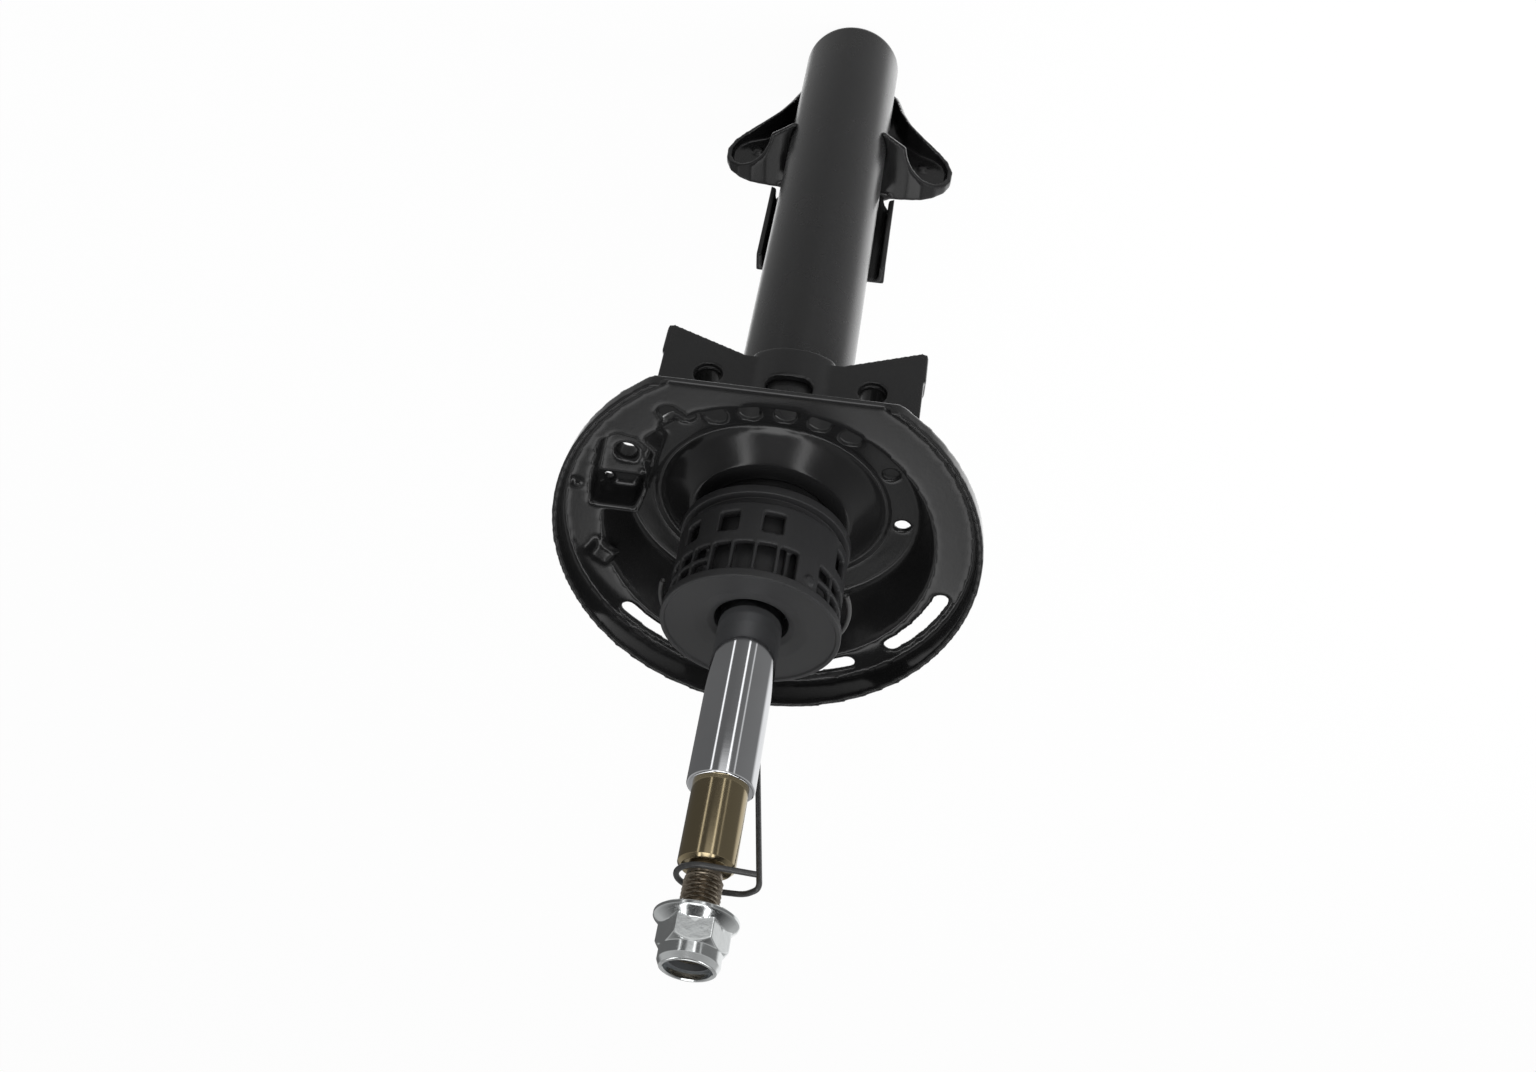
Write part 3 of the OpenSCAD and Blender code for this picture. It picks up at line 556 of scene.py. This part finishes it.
WIRE_R = 1.05
HOOP_R = 37.0
HOOP_Z = 375.0
HOOK_R = 9.7
HOOK_Z = 490.3


def arc(r, z, start, end, steps):
    """Points of an arc about the axis, in millimetres and degrees."""
    a = np.radians(np.linspace(start, end, steps))
    return np.stack([r * np.cos(a), r * np.sin(a), np.full(steps, z)], -1)


def corner(before, at, after, reach):
    """Parabola that rounds off a corner, from reach before it to reach after it."""
    before, at, after = (np.array(p, float) for p in (before, at, after))
    start = at + reach * (before - at) / np.linalg.norm(before - at)
    end = at + reach * (after - at) / np.linalg.norm(after - at)
    t = np.linspace(0, 1, 9)[:, None]
    return (1 - t) ** 2 * start + 2 * t * (1 - t) * at + t ** 2 * end


def bent_wire(name, path, r, around=20):
    """Round wire along a path: each ring lies across the path, and turns no more than its bend does."""
    path = np.asarray(path, float)
    ahead = np.gradient(path, axis=0)
    ahead /= np.linalg.norm(ahead, axis=1)[:, None]
    up = np.array([0.0, 0.0, 1.0])
    ups = []
    for direction in ahead:
        up = up - (up @ direction) * direction
        up /= np.linalg.norm(up)
        ups.append(up)
    ups = np.array(ups)
    over = np.cross(ahead, ups)
    turn = np.linspace(0, 2 * np.pi, around, endpoint=False)
    ends = r * np.sin(np.linspace(0, np.pi / 2, 5))
    size = np.concatenate([ends, np.full(len(path) - 2, r), ends[::-1]])
    shift = np.concatenate([ends[::-1] - r, np.zeros(len(path) - 2), r - ends])
    rows = np.concatenate([np.zeros(5, int), np.arange(1, len(path) - 1), np.full(5, len(path) - 1)])
    middle = path[rows] + shift[:, None] * 0.8 * ahead[rows]
    ring = np.cos(turn)[None, :, None] * ups[rows][:, None] + np.sin(turn)[None, :, None] * over[rows][:, None]
    return surface(name, middle[:, None] + size[:, None, None] * ring, False, 60)


def phosphated():
    """Dark phosphated spring wire, slightly mottled."""
    material = bpy.data.materials.new("phosphated_wire")
    tree = Tree(material)
    place = tree.add("ShaderNodeTexCoord", output="Object")
    mottle = tree.noise(place, 500.0, 5.0)
    tint = tree.mix(mottle, (0.045, 0.045, 0.045, 1), (0.12, 0.12, 0.12, 1))
    bump = tree.add("ShaderNodeBump", {}, {"Height": mottle, "Distance": 0.00004, "Strength": 0.4})
    steel = {"Base Color": tint, "Metallic": 0.55, "Roughness": mottle * 0.2 + 0.32, "Normal": bump}
    shader = tree.add("ShaderNodeBsdfPrincipled", {}, steel)
    tree.add("ShaderNodeOutputMaterial", {}, {"Surface": shader})
    return material


foot = (-1.6, (HOOP_R ** 2 - 1.6 ** 2) ** 0.5, HOOP_Z)
knee = (-3.9, (HOOP_R ** 2 - 3.9 ** 2) ** 0.5, CAP_TOP + 2)
turn_in = (-19.0, 2.5, HOOK_Z)
side = (-14.0, 8.8, HOOK_Z)
half_hoop = arc(HOOP_R, HOOP_Z, -13, 84, 60)
clip_path = np.concatenate([
    half_hoop, corner(half_hoop[-1], foot, knee, 3), corner(foot, knee, turn_in, 3), corner(knee, turn_in, side, 3),
    corner(turn_in, side, (0, HOOK_R, HOOK_Z), 3), arc(HOOK_R, HOOK_Z, 90, -90, 60), [(-17, -8.5, HOOK_Z)],
])
clip_wire = phosphated()
dressed(bent_wire("clip_wire", clip_path, WIRE_R), clip_wire, "clip_wire", "clip", "wire_clip")
lapped = arc(HOOP_R, HOOP_Z - 2 * WIRE_R - 0.05, 78, 197, 70)
dressed(bent_wire("clip_half_hoop", lapped, WIRE_R), clip_wire, "clip_wire", "clip")


# ---- inner pieces
# What the tube and the cap hide keeps its solid, in the plain finish that such a piece is made in.


def plain_metal(name, colour, rough, metallic=1.0, grain=300.0):
    """Machined, sintered or moulded finish: a tint and a gloss that vary a little with a fine grain."""
    material = bpy.data.materials.new(name)
    tree = Tree(material)
    place = tree.add("ShaderNodeTexCoord", output="Object")
    grit = tree.noise(place, grain, 4.0)
    dark = tuple(c * 0.8 for c in colour)
    tint = tree.mix(grit, (*dark, 1), (*colour, 1))
    bump = tree.add("ShaderNodeBump", {}, {"Height": grit, "Distance": 0.00003, "Strength": 0.4})
    metal = {"Base Color": tint, "Metallic": metallic, "Roughness": grit * 0.15 + rough, "Normal": bump}
    shader = tree.add("ShaderNodeBsdfPrincipled", {}, metal)
    tree.add("ShaderNodeOutputMaterial", {}, {"Surface": shader})
    return material


finishes = {
    "e_coat": e_coat,
    "weld": bead_coat,
    "cap_plastic": cap_plastic,
    "drawn_steel": plain_metal("drawn_steel", (0.50, 0.51, 0.53), 0.28),
    "valve_steel": plain_metal("valve_steel", (0.62, 0.64, 0.68), 0.22),
    "sintered_steel": plain_metal("sintered_steel", (0.25, 0.25, 0.27), 0.5, grain=900.0),
    "bronze": plain_metal("bronze", (0.55, 0.36, 0.16), 0.3),
    "piston_band": plain_metal("piston_band", (0.10, 0.08, 0.06), 0.4, 0.0),
    "rubber": plain_metal("rubber", (0.025, 0.025, 0.025), 0.6, 0.0),
    "lock_plastic": plain_metal("lock_plastic", (0.08, 0.085, 0.09), 0.35, 0.0),
}
for part in frame["record"]["subparts"]:
    node = frame["nodes"][part["node"]]
    if part["material_slot"] in finishes:
        node.data.materials.clear()
        node.data.materials.append(finishes[part["material_slot"]])
